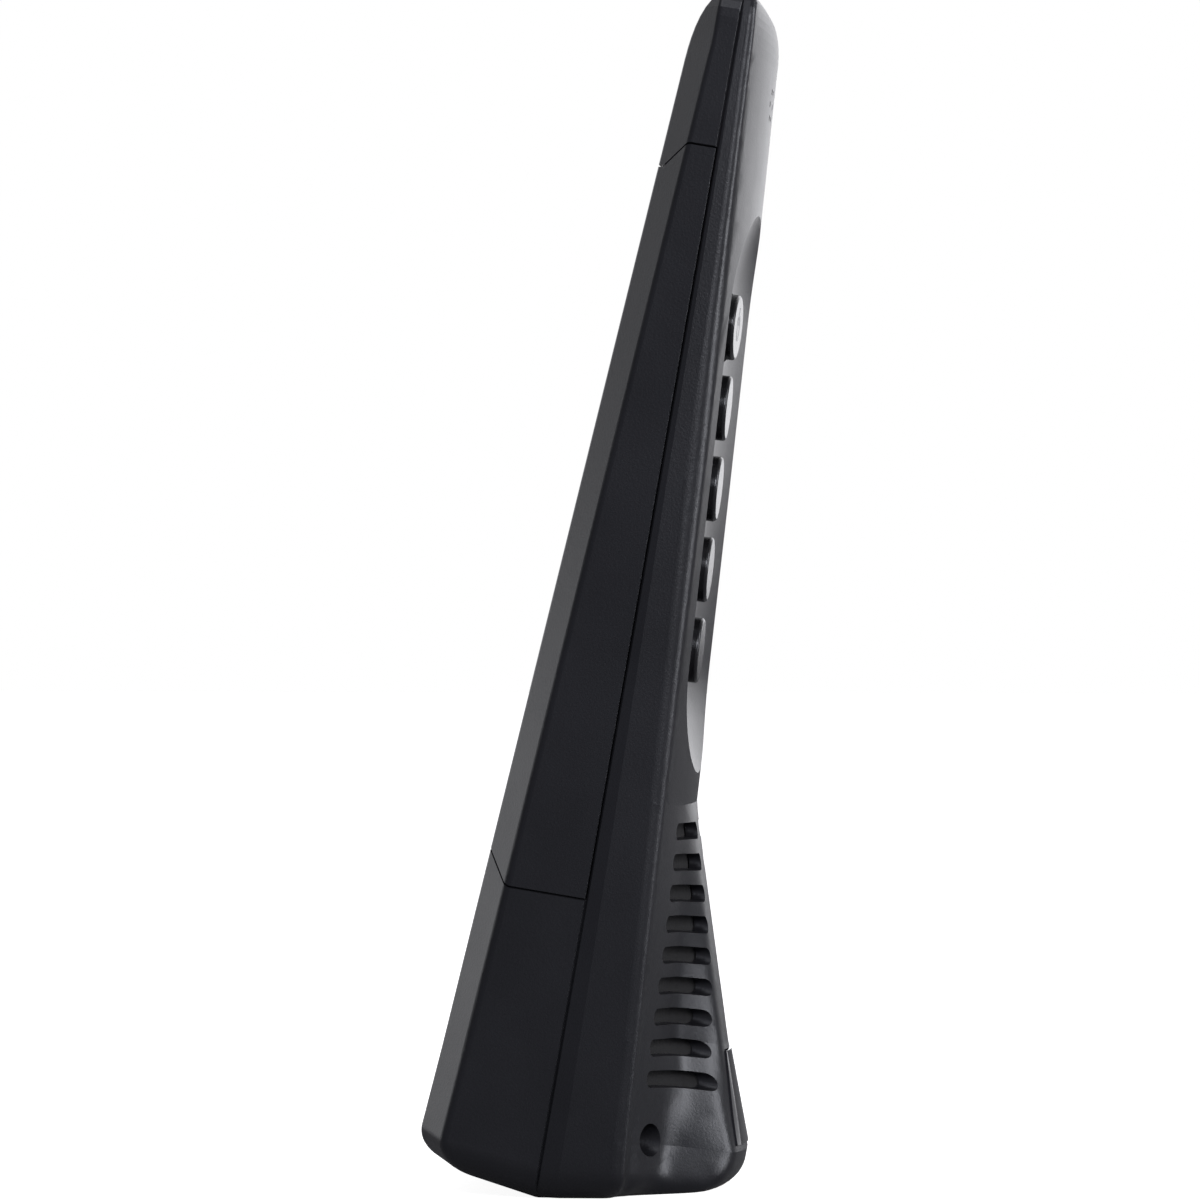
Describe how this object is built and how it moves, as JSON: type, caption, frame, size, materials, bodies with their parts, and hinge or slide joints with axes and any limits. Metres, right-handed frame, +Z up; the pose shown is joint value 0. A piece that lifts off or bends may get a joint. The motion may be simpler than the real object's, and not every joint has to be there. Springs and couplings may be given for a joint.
{
  "type": "cordless handset",
  "caption": "Cordless call handset that stands leaning on its own flared louvred foot, with a column of keys in a long dish and a battery cover along its back.",
  "frame": {"origin": "centre of the bounding box's bottom face, level with the underside of the foot", "axes": "+Z up, the face with the keys towards -Y, +X across the width"},
  "size_m": [0.0538, 0.0545, 0.1878],
  "materials": {
    "chip_black": "moulded epoxy",
    "cell_wrap": "shrink sleeve",
    "case_black": "satin, fine moulded texture",
    "zinc_steel": "zinc plated",
    "gold_plate": "gold flash",
    "tinned_steel": "bright tinned",
    "clear_film": "clear film",
    "foam_black": "closed-cell foam",
    "key_black": "smooth satin",
    "silicone_grey": "matt silicone",
    "cone_black": "treated paper",
    "baffle_black": "matt, finely pierced",
    "board_green": "solder mask",
    "gloss_black": "polished"
  },
  "bodies": {
    "handset": {"audio_chip": "chip_black", "baseband_chip": "chip_black", "battery_cells": "cell_wrap", "case_screws": "zinc_steel", "charge_contacts": "gold_plate", "crystal_can": "tinned_steel", "dome_sheet": "clear_film", "earpiece": "tinned_steel", "earpiece_gasket": "foam_black", "front_shell": "case_black", "keypad_membrane": "silicone_grey", "loudspeaker_cone": "cone_black", "loudspeaker_frame": "tinned_steel", "loudspeaker_magnet": "tinned_steel", "louvre_baffle": "baffle_black", "main_board": "board_green", "microphone": "tinned_steel", "microphone_boot": "foam_black", "radio_shield": "tinned_steel", "rear_shell": "case_black", "trim_plate": "gloss_black"},
    "talk_key": {"talk_key": "key_black"},
    "hold_key": {"hold_key": "key_black"},
    "volume_up_key": {"volume_up_key": "key_black"},
    "volume_down_key": {"volume_down_key": "key_black"},
    "page_key": {"page_key": "key_black"},
    "battery_cover": {"battery_cover": "case_black"}
  },
  "joints": [
    {"name": "talk_press", "type": "slide", "parent": "handset", "child": "talk_key", "axis": [0, 0.9935, 0.1139], "range_m": [0, 0.0009], "stiffness_N_per_m": 700, "springref_m": -0.0005},
    {"name": "hold_press", "type": "slide", "parent": "handset", "child": "hold_key", "axis": [0, 0.9935, 0.1139], "range_m": [0, 0.0009], "stiffness_N_per_m": 700, "springref_m": -0.0005},
    {"name": "volume_up_press", "type": "slide", "parent": "handset", "child": "volume_up_key", "axis": [0, 0.9935, 0.1139], "range_m": [0, 0.0009], "stiffness_N_per_m": 700, "springref_m": -0.0005},
    {"name": "volume_down_press", "type": "slide", "parent": "handset", "child": "volume_down_key", "axis": [0, 0.9935, 0.1139], "range_m": [0, 0.0009], "stiffness_N_per_m": 700, "springref_m": -0.0005},
    {"name": "page_press", "type": "slide", "parent": "handset", "child": "page_key", "axis": [0, 0.9935, 0.1139], "range_m": [0, 0.0009], "stiffness_N_per_m": 700, "springref_m": -0.0005},
    {"name": "cover_lift", "type": "slide", "parent": "handset", "child": "battery_cover", "axis": [0, 0.9853, 0.1711], "range_m": [0, 0.03]}
  ]
}
